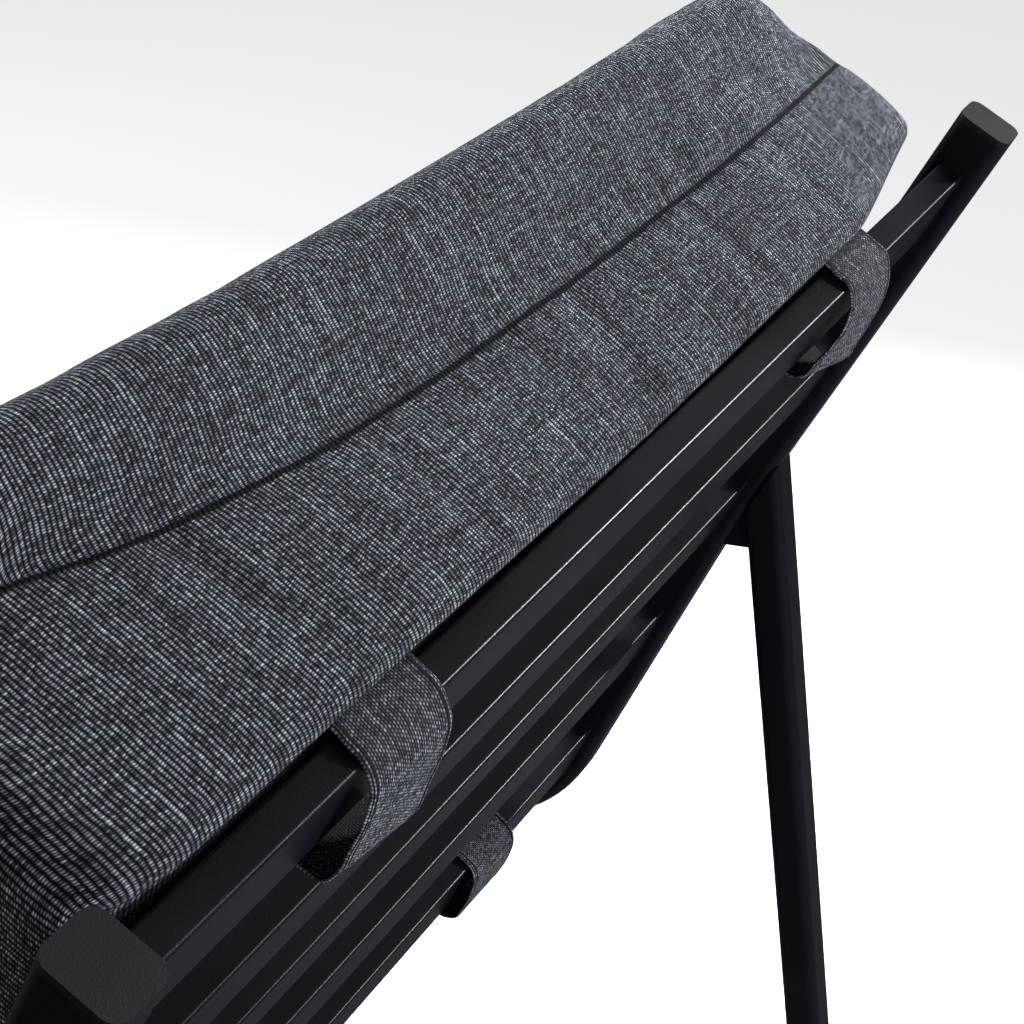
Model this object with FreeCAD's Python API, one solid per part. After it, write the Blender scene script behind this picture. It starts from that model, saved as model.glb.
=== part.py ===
"""Outdoor lounge chair: a welded aluminium frame with slats, and two loose cushions.

Millimetres, +Z up, the sitter faces -Y. The chair stands on Z = 0 with the middle of its
bounding box over the origin. Both side frames are mirror images in the plane X = 0.
Each side frame is drawn in the side plane, and three sloping frames of reference follow it:
the upper back, the lower back and the seat. In each of them y points out of the back of the
panel (down, for the seat) towards the rear, and z points up along or out of the panel.
"""
import FreeCAD, Part
import math
import os

V = FreeCAD.Vector

# Side frames
inner_width = 698.0           # clear width between the side frames
tube_width = 25.0             # width across the chair of every tube in a side frame
post_depth = 30.0             # depth of the bent tube of post and seat rail
leg_depth = 25.0
tube_round = 6.0              # outer corner radius of the tubes
tube_wall = 2.0
rail_height = 780.0           # height of the top rail's rear upper edge
post_rise = 24.0              # post tube above that edge
upper_recline = 27.0          # degrees from upright
lower_recline = 24.0          # degrees from upright
kink_drop = 288.7             # along the post, from the top rail's edge to the kink
kink_radius = 600.0
lower_length = 227.0          # from the kink to the start of the seat bend
seat_bend_radius = 125.0
seat_slope = 4.0              # the seat rises towards the front
seat_rail_length = 490.0      # from the seat bend to the front leg
fork_drop = 220.0             # along the post, where the rear leg's rear face leaves it
rear_leg_splay = 8.0
web_thick = 17.0              # weld web in the fork between post and rear leg
web_depth = 59.5              # below the point where the rear leg leaves the post
cap_thick = 3.0
cap_stem = 15.0
cap_fit = 0.2                 # gap around the stem of a cap or glide
glide_thick = 5.0
glide_stem = 20.0

# Slats and cross rails
slat_height = 45.0
slat_thick = 14.0
slat_round = 1.5
slat_wall = 1.2
slat_pitch = 120.0
back_slat_count = 5           # the top rail is the first of them
slat_set = 1.0                # slats lie this far towards the sitter from the tube's middle
seat_slat_count = 5
cross_rail_depth = 30.0
cross_rail_height = 20.0
front_rail_inset = 20.0       # from the front leg to the middle of the front cross rail
bearer_width = 25.0
bearer_height = 14.0

# Cushions
soft_gap = 0.3                # between a cushion and what carries it
cover_thick = 1.2
cushion_round = 8.0           # edges of the boxing
back_side_gap = 8.0           # between the back cushion and each post
back_cushion_rise = 13.0      # boxing above the top rail's edge
back_cushion_drop = 538.0     # boxing below the top rail's edge
boxing_depth = 74.0
pillow_depth = 70.0           # front pillow, in front of the boxing
pillow_rise = 36.0            # how far the pillow's crest stands over the boxing
pillow_shoulder_set = 8.0     # the pillow's shoulder lies this far behind its front
pillow_foot_set = 14.0        # and its foot this far, where it starts to draw in
pillow_foot_rise = 76.0       # from the cushion's bottom seam to the foot
pillow_belly = 310.0          # from the bottom seam to the foremost point
boxing_overlap = 7.0          # the boxing reaches this far into the pillow
seat_side_gap = 12.0          # between the seat cushion and each side rail
seat_cushion_thick = 122.0
seat_cushion_back = 10.0      # from the seat bend to the cushion's rear face
seat_cushion_nose = 17.0      # past the rear face of the front legs
seat_cushion_round = 18.0

# Hook-and-loop straps of the back cushion
strap_width = 50.0
strap_thick = 2.0
strap_slack = 8.0             # how far a strap hangs clear behind its slat
strap_hang = 10.0             # how far a top strap hangs below the rail
low_strap_hang = 3.0          # and a low strap below the lowest slat
strap_round = 10.0            # outer radius of its turns
strap_end_gap = 135.0         # from the cushion's end to the middle of a strap

# Zips
zip_tape_width = 26.0
zip_tape_thick = 0.8
zip_chain_width = 6.0
zip_chain_height = 1.6
zip_end_margin = 60.0         # bare cover at each end of a zip
zip_gap = 0.3
back_zip_set = 34.0           # from the boxing's rear face to the middle of the zip
seat_zip_set = 36.0           # from the cushion's underside to the middle of the zip
slider_length = 12.0
slider_width = 10.0
slider_height = 4.0
pull_length = 24.0
pull_width = 7.0
pull_thick = 1.2
pull_overlap = 2.0            # length of the pull inside the slider body


# Frames of reference -----------------------------------------------------------------

def slope(angle, y, z):
    """Frame with its origin at (y, z) of the side plane, leaning rearward by an angle."""
    return FreeCAD.Placement(V(0, y, z), FreeCAD.Rotation(V(1, 0, 0), -angle))


def spot(frame, y, z, x=0.0):
    return frame.multVec(V(x, y, z))


post_centre = slat_set - slat_thick / 2
UPPER = slope(upper_recline, 0.0, rail_height)
kink = spot(UPPER, post_centre, -kink_drop)
LOWER = slope(lower_recline, kink.y, kink.z)
bend_reach = seat_bend_radius * math.tan(math.radians(90 + seat_slope - lower_recline) / 2)
bend_corner = spot(LOWER, 0.0, -lower_length - bend_reach)
SEAT = slope(seat_slope, *spot(slope(seat_slope, bend_corner.y, bend_corner.z), -bend_reach, 0)[1:])
tube_x = inner_width / 2 + tube_width / 2
back_cushion_width = inner_width - 2 * back_side_gap
seat_cushion_width = inner_width - 2 * seat_side_gap
strap_x = back_cushion_width / 2 - strap_end_gap
SIDES = (("left", 1), ("right", -1))


# Solids ------------------------------------------------------------------------------

def block(frame, x0, x1, y0, y1, z0, z1, rounding=0.0, edges=None):
    """Box between two corners of a frame, with the edges along one axis rounded."""
    box = Part.makeBox(x1 - x0, y1 - y0, z1 - z0, V(x0, y0, z0))
    if rounding:
        box = box.makeFillet(rounding, edges_along(box, edges) if edges else box.Edges)
    return placed(box, frame)


def placed(shape, frame):
    shape.Placement = frame.multiply(shape.Placement)
    return shape


def edges_along(shape, axis):
    """Edges of a box that run along "x", "y" or "z"."""
    return [e for e in shape.Edges if abs(getattr(e.tangentAt(e.FirstParameter), axis)) > 0.99]


def hollow(frame, box, rounding, wall, axis):
    """Rounded box tube along an axis, open at both ends."""
    x0, x1, y0, y1, z0, z1 = box
    inside = [x0 + wall, x1 - wall, y0 + wall, y1 - wall, z0 + wall, z1 - wall]
    first = "xyz".index(axis) * 2
    inside[first] = box[first] - wall
    inside[first + 1] = box[first + 1] + wall
    outer = block(frame, *box, rounding, axis)
    return outer.cut(block(frame, *inside, max(rounding - wall, 0.5), axis))


def bent_wire(points, radii):
    """Straight runs in the side plane, joined at the inner points by tangent arcs."""
    edges = []
    start = points[0]
    for before, corner, after, radius in zip(points, points[1:], points[2:], radii):
        into = (corner - before).normalize()
        out = (after - corner).normalize()
        turn = into.getAngle(out)
        reach = radius * math.tan(turn / 2)
        first = corner - into * reach
        last = corner + out * reach
        inward = (out - into).normalize()
        middle = corner + inward * (radius / math.cos(turn / 2) - radius)
        edges.append(Part.LineSegment(start, first).toShape())
        edges.append(Part.Arc(first, middle, last).toShape())
        start = last
    edges.append(Part.LineSegment(start, points[-1]).toShape())
    return Part.Wire([e for e in edges if e.Length > 0.01])


def rounded_section(start, direction, width, depth, rounding):
    """Rounded rectangle across a path: width along X, depth in the side plane."""
    box = Part.makeBox(width, depth, 1, V(-width / 2, -depth / 2, 0))
    box = box.makeFillet(rounding, edges_along(box, "z"))
    floor = min(box.Faces, key=lambda face: face.CenterOfMass.z)
    lean = math.degrees(math.atan2(-direction.y, direction.z))
    wire = floor.OuterWire
    wire.Placement = FreeCAD.Placement(start, FreeCAD.Rotation(V(1, 0, 0), lean))
    return wire


def bent_tube(points, radii, width, depth, rounding, wall):
    """Hollow tube of rounded rectangular section along a path of the side plane."""
    path = bent_wire(points, radii)
    direction = (points[1] - points[0]).normalize()
    skins = []
    for inset in (0.0, wall):
        section = rounded_section(
            points[0], direction, width - 2 * inset, depth - 2 * inset, rounding - inset)
        skins.append(path.makePipeShell([section], True, False))
    return skins[0].cut(skins[1])


# Side frames -------------------------------------------------------------------------

def side_shift(shape, side):
    shape.translate(V(side * tube_x, 0, 0))
    return shape


def back_post():
    """Upright tube: two straight runs with a slight kink, open at the top."""
    path = [spot(UPPER, post_centre, post_rise), kink, spot(LOWER, 0, -lower_length)]
    return bent_tube(path, [kink_radius], tube_width, post_depth, tube_round, tube_wall)


def seat_side_rail():
    """Tube that turns forward from the foot of the post and runs to the front leg."""
    start = spot(LOWER, 0, -lower_length)
    path = [start, bend_corner, spot(SEAT, -seat_rail_length, 0)]
    return bent_tube(path, [seat_bend_radius], tube_width, post_depth, tube_round, tube_wall)


def plug(frame, half_x, y0, y1, z_end, up, stem, round_out):
    """Plate on the end of a tube with a stem inside it; up is +1 or -1 along z."""
    plate = sorted((z_end, z_end + up * cap_thick))
    inner = sorted((z_end, z_end - up * stem))
    inset = tube_wall + cap_fit
    cap = block(frame, -half_x, half_x, y0, y1, *plate, round_out, "z")
    core = block(frame, inset - half_x, half_x - inset, y0 + inset, y1 - inset, *inner,
                 round_out - inset, "z")
    return cap.fuse(core).removeSplitter()


def post_cap():
    half = post_depth / 2
    return plug(UPPER, tube_width / 2, post_centre - half, post_centre + half,
                post_rise, 1, cap_stem, tube_round)


def ahead_of_post_back():
    """Everything in front of the post's rear face: the shape that the rear leg is cut to."""
    reach = 4 * post_depth
    half = post_depth / 2
    turn = math.radians(upper_recline - lower_recline)
    bisector = slope((upper_recline + lower_recline) / 2, kink.y, kink.z)
    top = spot(UPPER, post_centre + half, post_rise, -reach)
    corner = spot(bisector, half / math.cos(turn / 2), 0, -reach)
    foot = spot(LOWER, half, -lower_length, -reach)
    rear = bent_wire([top, corner, foot], [kink_radius - half])
    front = Part.makePolygon([foot, spot(LOWER, -reach, -lower_length, -reach),
                              spot(UPPER, -reach, post_rise, -reach), top])
    return Part.Face(Part.Wire(rear.Edges + front.Edges)).extrude(V(2 * reach, 0, 0))


fork = spot(UPPER, post_centre + post_depth / 2, -fork_drop)
REAR_LEG = slope(-rear_leg_splay, fork.y, fork.z)
rear_leg_reach = fork.z / math.cos(math.radians(rear_leg_splay)) + leg_depth


def above(shape, z):
    """The part of a shape that lies above a level."""
    size = 4 * rail_height
    return shape.common(Part.makeBox(size, size, size, V(-size / 2, -size / 2, z)))


def below(shape, z):
    size = 4 * rail_height
    return shape.common(Part.makeBox(size, size, size, V(-size / 2, -size / 2, z - size)))


def rear_leg():
    """Splayed tube, cut at the top to the post's rear face and at the foot to the floor."""
    box = (-tube_width / 2, tube_width / 2, -leg_depth, 0.0, -rear_leg_reach, leg_depth / 4)
    tube = hollow(REAR_LEG, box, tube_round, tube_wall, "z")
    return above(tube, glide_thick).cut(ahead_of_post_back())


def fork_web():
    """Solid web that fills the narrow top of the fork."""
    half = web_thick / 2
    web = block(REAR_LEG, -half, half, -3 * leg_depth, -leg_depth, -web_depth, 0)
    return web.cut(ahead_of_post_back())


front_leg_reach = spot(SEAT, -seat_rail_length, 0).z + 2 * leg_depth
front_leg_top = post_depth / 2


def front_leg_box(inset=0.0, over=0.0):
    """Outline of the front leg, drawn in by an inset and carried on over its top."""
    half = tube_width / 2 - inset
    return block(SEAT, -half, half, -seat_rail_length - leg_depth + inset,
                 -seat_rail_length - inset, -front_leg_reach, front_leg_top + over,
                 tube_round - inset, "z")


def front_leg():
    """Tube square to the seat rail, from the floor to the top of the rail's front end."""
    return above(front_leg_box().cut(front_leg_box(tube_wall, cap_thick)), glide_thick)


def front_leg_cap():
    return plug(SEAT, tube_width / 2, -seat_rail_length - leg_depth, -seat_rail_length,
                front_leg_top, 1, cap_stem, tube_round)


def foot_glide(leg, void):
    """Plastic foot: a pad of the leg's outline on the floor and a stem in the leg."""
    pad = below(above(leg, 0), glide_thick)
    stem = below(above(void, glide_thick), glide_thick + glide_stem)
    return pad.fuse(stem).removeSplitter()


def rear_glide():
    inset = tube_wall + cap_fit
    half = tube_width / 2
    leg = block(REAR_LEG, -half, half, -leg_depth, 0, -rear_leg_reach, 0, tube_round, "z")
    void = block(REAR_LEG, inset - half, half - inset, inset - leg_depth, -inset,
                 -rear_leg_reach, 0, tube_round - inset, "z")
    return foot_glide(leg, void)


def front_glide():
    return foot_glide(front_leg_box(), front_leg_box(tube_wall + cap_fit))


# Slats and cross rails ---------------------------------------------------------------

def slat_place(index):
    """Frame of reference, rear face and upper edge of one back slat."""
    drop = index * slat_pitch
    if drop + slat_height / 2 < kink_drop:
        return UPPER, 0.0, -drop
    return LOWER, slat_thick / 2 - slat_set, kink_drop - drop


def back_slat(index):
    """Flat tube between the posts; its height runs along the post."""
    frame, rear, top = slat_place(index)
    half = inner_width / 2
    box = (-half, half, rear - slat_thick, rear, top - slat_height, top)
    return hollow(frame, box, slat_round, slat_wall, "x")


front_rail_y = front_rail_inset - seat_rail_length
seat_top = slat_set + slat_thick / 2


def seat_slat(index):
    middle = front_rail_y * index / (seat_slat_count + 1)
    half = inner_width / 2
    box = (-half, half, middle - slat_height / 2, middle + slat_height / 2,
           seat_top - slat_thick, seat_top)
    return hollow(SEAT, box, slat_round, slat_wall, "x")


def cross_rail(middle):
    half = inner_width / 2
    box = (-half, half, middle - cross_rail_depth / 2, middle + cross_rail_depth / 2,
           seat_top - cross_rail_height, seat_top)
    return hollow(SEAT, box, slat_round, tube_wall, "x")


def seat_bearer():
    """Tube under the middle of the seat slats, between the two cross rails."""
    half = bearer_width / 2
    top = seat_top - slat_thick
    box = (-half, half, front_rail_y + cross_rail_depth / 2, -cross_rail_depth / 2,
           top - bearer_height, top)
    return hollow(SEAT, box, slat_round, slat_wall, "y")


# Cushions ----------------------------------------------------------------------------

back_face = -slat_thick - soft_gap
seam_y = back_face - boxing_depth
pillow_front = seam_y - pillow_depth


def back_pillow(inset):
    """Front pillow of the back cushion: crested at the top, drawn in at the bottom."""
    half = back_cushion_width / 2 - inset
    low = -back_cushion_drop
    top_seam = V(0, seam_y, back_cushion_rise)
    low_seam = V(0, seam_y, low)
    crest = V(0, (seam_y + pillow_front) / 2, back_cushion_rise + pillow_rise)
    shoulder = V(0, pillow_front + pillow_shoulder_set, back_cushion_rise)
    foot = V(0, pillow_front + pillow_foot_set, low + pillow_foot_rise)
    edges = [
        Part.Arc(top_seam, crest, shoulder).toShape(),
        Part.Arc(shoulder, V(0, pillow_front, low + pillow_belly), foot).toShape(),
        Part.LineSegment(foot, low_seam).toShape(),
        Part.LineSegment(low_seam, top_seam).toShape(),
    ]
    profile = Part.Face(Part.Wire(edges))
    if inset:
        profile = profile.makeOffset2D(-inset)
    solid = profile.extrude(V(2 * half, 0, 0))
    solid.translate(V(-half, 0, 0))
    return placed(solid, UPPER)


def back_form(inset=0.0):
    """Outer form of the back cushion, or the same form drawn in by an inset."""
    half = back_cushion_width / 2 - inset
    boxing = block(UPPER, -half, half, seam_y - boxing_overlap, back_face - inset,
                   inset - back_cushion_drop, back_cushion_rise - inset,
                   max(cushion_round - inset, 1.0), "y")
    return boxing.fuse(back_pillow(inset)).removeSplitter()


def seat_form(inset=0.0):
    """Outer form of the seat cushion: a box with soft edges."""
    half = seat_cushion_width / 2 - inset
    bottom = seat_top + soft_gap
    return block(SEAT, -half, half,
                 -seat_rail_length - seat_cushion_nose + inset, -seat_cushion_back - inset,
                 bottom + inset, bottom + seat_cushion_thick - inset,
                 seat_cushion_round - inset)


def cover(form):
    return form().cut(form(cover_thick))


def foam(form):
    return form(cover_thick + soft_gap)


# Straps ------------------------------------------------------------------------------

def strap(index, hang, sign):
    """Hook-and-loop strap: out of the cushion, around one back slat and into the cushion."""
    frame, rear, top = slat_place(index)
    x = sign * strap_x
    half = strap_width / 2
    reach = slat_thick + boxing_depth
    out = rear + strap_slack
    under = top - slat_height - hang
    over = top + soft_gap
    loop = block(frame, x - half, x + half, rear - reach, out + strap_thick,
                 under - strap_thick, over + strap_thick, strap_round, "x")
    void = block(frame, x - half, x + half, rear - reach - 1, out, under, over,
                 strap_round - strap_thick, "x")
    return loop.cut(void).cut(back_form())


# Zips --------------------------------------------------------------------------------

def zip_tape(frame, length, face, out, middle, axis):
    """Tape flat on a cushion face, with the chain along its middle."""
    half = length / 2
    tape = zip_box(frame, -half, half, face, out, zip_tape_thick, middle, zip_tape_width, axis)
    chain = zip_box(frame, -half, half, face, out, zip_tape_thick + zip_chain_height,
                    middle, zip_chain_width, axis)
    return tape.fuse(chain).removeSplitter()


def zip_slider(frame, length, face, out, middle, axis):
    """Slider body over the chain with its pull tab lying along the zip."""
    start = length / 2 - slider_length
    base = face + out * (zip_tape_thick + zip_chain_height + zip_gap)
    body = zip_box(frame, start, start + slider_length, base, out, slider_height,
                   middle, slider_width, axis)
    end = start + pull_overlap
    pull = zip_box(frame, end - pull_length, end, base + out * slider_height / 2, out,
                   pull_thick, middle, pull_width, axis)
    return body.fuse(pull).removeSplitter()


def zip_box(frame, x0, x1, face, out, height, middle, width, axis):
    """Box on a face: out is +1 or -1 along the axis that the face looks along."""
    depth = sorted((face, face + out * height))
    across = (middle - width / 2, middle + width / 2)
    y, z = (depth, across) if axis == "y" else (across, depth)
    return block(frame, x0, x1, *y, *z)


back_zip = (UPPER, back_cushion_width - 2 * zip_end_margin, -back_cushion_drop, -1,
            back_face - back_zip_set, "z")
seat_zip = (SEAT, seat_cushion_width - 2 * zip_end_margin, -seat_cushion_back, 1,
            seat_top + soft_gap + seat_zip_set, "y")


# Assembly ----------------------------------------------------------------------------

def build():
    parts = {}
    side_pieces = {
        "back_post": back_post, "post_cap": post_cap, "seat_side_rail": seat_side_rail,
        "rear_leg": rear_leg, "fork_web": fork_web, "front_leg": front_leg,
        "front_leg_cap": front_leg_cap,
        "rear_foot_glide": rear_glide, "front_foot_glide": front_glide,
    }
    for name, make in side_pieces.items():
        for side, sign in SIDES:
            parts[name + "_" + side] = side_shift(make(), sign)
    parts["top_rail"] = back_slat(0)
    for index in range(1, back_slat_count):
        parts["back_slat_%d" % (index + 1)] = back_slat(index)
    for index in range(seat_slat_count):
        parts["seat_slat_%d" % (index + 1)] = seat_slat(index + 1)
    parts["seat_rear_rail"] = cross_rail(0.0)
    parts["seat_front_rail"] = cross_rail(front_rail_y)
    parts["seat_bearer"] = seat_bearer()
    parts["back_cushion_cover"] = cover(back_form)
    parts["back_cushion_foam"] = foam(back_form)
    parts["seat_cushion_cover"] = cover(seat_form)
    parts["seat_cushion_foam"] = foam(seat_form)
    for side, sign in SIDES:
        parts["top_strap_" + side] = strap(0, strap_hang, sign)
        parts["low_strap_" + side] = strap(back_slat_count - 1, low_strap_hang, sign)
    parts["back_cushion_zip"] = zip_tape(*back_zip)
    parts["back_zip_slider"] = zip_slider(*back_zip)
    parts["seat_cushion_zip"] = zip_tape(*seat_zip)
    parts["seat_zip_slider"] = zip_slider(*seat_zip)
    return parts


def centred(parts):
    """Shift the chair so that the middle of its length and width lies over the origin."""
    box = Part.makeCompound(list(parts.values())).optimalBoundingBox(False, False)
    for shape in parts.values():
        shape.translate(V(0, -(box.YMin + box.YMax) / 2, 0))
    return parts


os.makedirs("parts", exist_ok=True)
for name, shape in centred(build()).items():
    shape.exportStep("parts/%s.step" % name)
    print(name, len(shape.Solids), round(shape.Volume), shape.isValid())
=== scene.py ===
import math

import bpy
import numpy as np
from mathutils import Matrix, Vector


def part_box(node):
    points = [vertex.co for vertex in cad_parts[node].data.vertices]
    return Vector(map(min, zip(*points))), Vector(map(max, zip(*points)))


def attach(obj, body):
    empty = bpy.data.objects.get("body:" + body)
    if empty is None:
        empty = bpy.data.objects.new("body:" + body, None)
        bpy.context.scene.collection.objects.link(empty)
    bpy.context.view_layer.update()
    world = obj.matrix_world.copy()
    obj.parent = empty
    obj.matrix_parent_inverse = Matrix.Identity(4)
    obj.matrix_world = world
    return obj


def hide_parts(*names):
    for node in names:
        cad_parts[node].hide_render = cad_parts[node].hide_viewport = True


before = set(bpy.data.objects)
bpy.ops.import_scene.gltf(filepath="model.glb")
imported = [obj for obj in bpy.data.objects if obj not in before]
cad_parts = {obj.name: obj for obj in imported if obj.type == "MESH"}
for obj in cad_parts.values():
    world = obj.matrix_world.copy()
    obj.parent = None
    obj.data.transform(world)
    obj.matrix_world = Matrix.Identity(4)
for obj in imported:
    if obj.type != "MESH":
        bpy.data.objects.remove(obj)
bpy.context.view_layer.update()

scene = bpy.context.scene
scene.view_settings.view_transform = "Standard"


# The panels of the chair. The back and the seat each lie in a sloping plane: in both, y points
# out of the panel's underside and z up the slope of the back or up out of the seat. The
# places of the top rail and of the rear cross rail fix where these planes are.

class Slope:
    """A sloping frame of reference: x across the chair, y and z turned back about x."""

    def __init__(self, degrees, node, y, z):
        """The middle of the node's box lies at (y, z) of the frame."""
        low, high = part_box(node)
        self.cos = math.cos(math.radians(degrees))
        self.sin = math.sin(math.radians(degrees))
        self.y0 = (low[1] + high[1]) / 2 - y * self.cos - z * self.sin
        self.z0 = (low[2] + high[2]) / 2 + y * self.sin - z * self.cos

    def place(self, points):
        """World points: y turns down towards the rear and z turns back by the slope's angle."""
        x, y, z = points[..., 0], points[..., 1], points[..., 2]
        return np.stack([x, self.y0 + y * self.cos + z * self.sin,
                         self.z0 - y * self.sin + z * self.cos], axis=-1)


back = Slope(27.0, "top_rail", -0.007, -0.0225)
low_back = Slope(24.0, "back_slat_5", -0.001, -0.0225)
seat = Slope(4.0, "seat_rear_rail", 0.0, -0.002)


# Camera. It stands behind the chair, beyond its left side, close over the top rail, and looks
# along the back towards the right-hand post.

camera = bpy.data.objects.new("camera", bpy.data.cameras.new("camera"))
scene.collection.objects.link(camera)
scene.camera = camera
camera.data.lens = 72.05
camera.data.clip_start = 0.05
pitch, yaw = math.radians(30.34), math.radians(29.25)
camera.location = (0.654, back.y0 + 0.290, back.z0 + 0.391)
aim = Vector((-math.cos(pitch) * math.cos(yaw), -math.cos(pitch) * math.sin(yaw), -math.sin(pitch)))
camera.rotation_mode = "QUATERNION"
camera.rotation_quaternion = aim.to_track_quat("-Z", "Y")


# Floor and light. A plain pale floor in a pale room, with four soft lamps: one in front, one
# high at the side, one low behind, and a small far one that only shines along the metal's edges.

def connect(tree, node, inputs):
    """Give a node's inputs, by name or number, a value each or the socket that feeds them."""
    for key, value in inputs.items():
        if isinstance(value, bpy.types.NodeSocket):
            tree.links.new(value, node.inputs[key])
        else:
            node.inputs[key].default_value = value


def add(tree, kind, inputs=None, **properties):
    """A new node with its properties and inputs."""
    node = tree.nodes.new(kind)
    for key, value in properties.items():
        setattr(node, key, value)
    connect(tree, node, inputs or {})
    return node


def material(name):
    """A new node material, its tree and its Principled shader."""
    made = bpy.data.materials.new(name)
    made.use_nodes = True
    return made, made.node_tree, made.node_tree.nodes["Principled BSDF"]


def floor_material():
    """Pale paint with a glow where it is seen; dim in reflections; an even light for cloth."""
    made, tree, shader = material("floor paint")
    connect(tree, shader, {"Base Color": (0.86, 0.86, 0.86, 1), "Roughness": 0.9})
    glow = add(tree, "ShaderNodeEmission", {"Strength": 0.6})
    bounce = add(tree, "ShaderNodeEmission", {"Strength": 0.5})
    reflected = add(tree, "ShaderNodeBsdfDiffuse", {"Color": (0.05, 0.05, 0.055, 1)})
    rays = add(tree, "ShaderNodeLightPath").outputs
    seen = add(tree, "ShaderNodeAddShader", {0: shader.outputs[0], 1: glow.outputs[0]})
    unseen = add(tree, "ShaderNodeMixShader",
                 {0: rays["Is Diffuse Ray"], 1: reflected.outputs[0], 2: bounce.outputs[0]})
    chosen = add(tree, "ShaderNodeMixShader",
                 {0: rays["Is Camera Ray"], 1: unseen.outputs[0], 2: seen.outputs[0]})
    connect(tree, tree.nodes["Material Output"], {"Surface": chosen.outputs[0]})
    return made


floor_half = 30
corners = [(x * floor_half, y * floor_half, 0) for x, y in ((-1, -1), (1, -1), (1, 1), (-1, 1))]
floor_mesh = bpy.data.meshes.new("floor")
floor_mesh.from_pydata(corners, [], [(0, 1, 2, 3)])
floor = bpy.data.objects.new("floor", floor_mesh)
scene.collection.objects.link(floor)
floor_mesh.materials.append(floor_material())

world = bpy.data.worlds.new("room")
world.use_nodes = True
room = world.node_tree
light = room.nodes["Background"]
connect(room, light, {"Color": (0.93, 0.96, 1.0, 1), "Strength": 0.15})
wall = add(room, "ShaderNodeBackground", {"Color": (0.75, 0.76, 0.77, 1)})
rays = add(room, "ShaderNodeLightPath").outputs
seen = add(room, "ShaderNodeMixShader",
           {0: rays["Is Camera Ray"], 1: light.outputs[0], 2: wall.outputs[0]})
connect(room, room.nodes["World Output"], {"Surface": seen.outputs[0]})
scene.world = world


def soft_lamp(name, place, target, size, power, colour=(0.96, 0.98, 1.0)):
    """A square area lamp that faces a point."""
    data = bpy.data.lights.new(name, "AREA")
    data.shape = "SQUARE"
    data.size = size
    data.energy = power
    data.color = colour
    lamp = bpy.data.objects.new(name, data)
    scene.collection.objects.link(lamp)
    lamp.location = place
    lamp.rotation_mode = "QUATERNION"
    lamp.rotation_quaternion = (Vector(target) - Vector(place)).to_track_quat("-Z", "Y")
    lamp.visible_camera = False
    return lamp


soft_lamp("front", (0.3, -2.3, 2.1), (0, 0.1, 0.6), size=1.7, power=42)
side_lamp = soft_lamp("side", (-1.25, 0.2, 1.35), (0.1, 0.38, 0.8), size=0.6, power=60)
low_lamp = soft_lamp("low rear", (0.1, 1.8, 0.3), (0, 0.38, 0.8), size=0.9, power=29)
for lamp in (side_lamp, low_lamp):
    lamp.visible_glossy = False
edge_lamp = soft_lamp("edge", (-2.3, 2.1, 1.55), (0, 0.35, 0.7), size=0.3, power=120,
                      colour=(0.95, 0.97, 1.0))
edge_lamp.visible_diffuse = False


# Frame. Aluminium tube and flat tube, welded and ground at the joints, then coated all over
# with a matt black powder that melts to a very finely grained skin.

def node_group(name, inputs, outputs):
    """A new shader node group with its sockets; also what comes in and the node that puts out."""
    group = bpy.data.node_groups.new(name, "ShaderNodeTree")
    for title, kind in inputs.items():
        group.interface.new_socket(title, in_out="INPUT", socket_type="NodeSocket" + kind)
    for title in outputs:
        group.interface.new_socket(title, in_out="OUTPUT", socket_type="NodeSocketFloat")
    return group, add(group, "NodeGroupInput").outputs, add(group, "NodeGroupOutput")


def powder_grain():
    """Node group: the coat's grain as a height, its mottle and its pale flecks as masks."""
    group, given, result = node_group("powder grain", {"Grain size": "Float"},
                                      ("Height", "Mottle", "Flecks"))
    place = add(group, "ShaderNodeTexCoord").outputs["Object"]
    fine = add(group, "ShaderNodeMath", {0: 1.0, 1: given["Grain size"]}, operation="DIVIDE")
    grain = add(group, "ShaderNodeTexNoise",
                {"Vector": place, "Scale": fine.outputs[0], "Detail": 2.0})
    mottle = add(group, "ShaderNodeTexNoise", {"Vector": place, "Scale": 22.0, "Detail": 4.0})
    specks = add(group, "ShaderNodeTexVoronoi", {"Vector": place, "Scale": fine.outputs[0]})
    flecks = add(group, "ShaderNodeMapRange",
                 {"Value": specks.outputs["Distance"], "From Min": 0.13, "From Max": 0.05})
    connect(group, result, {"Height": grain.outputs[0], "Mottle": mottle.outputs[0],
                            "Flecks": flecks.outputs[0]})
    return group


grain_group = powder_grain()


def mixed(tree, factor, first, second):
    """Colour between two, each a socket or three numbers, by a factor socket."""
    inputs = {"Factor": factor}
    for key, colour in (("A", first), ("B", second)):
        inputs[key] = colour if isinstance(colour, bpy.types.NodeSocket) else (*colour, 1)
    return add(tree, "ShaderNodeMix", inputs, data_type="RGBA").outputs["Result"]


def ranged(tree, value, low, high):
    """A 0 to 1 value spread between two limits."""
    return add(tree, "ShaderNodeMapRange", {"Value": value, "To Min": low, "To Max": high}).outputs[0]


def bump(tree, height, depth, under=None):
    """Normal of a surface raised by a height times a depth in metres, over another normal."""
    inputs = {"Height": height, "Distance": depth}
    if under is not None:
        inputs["Normal"] = under
    return add(tree, "ShaderNodeBump", inputs).outputs[0]


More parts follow.
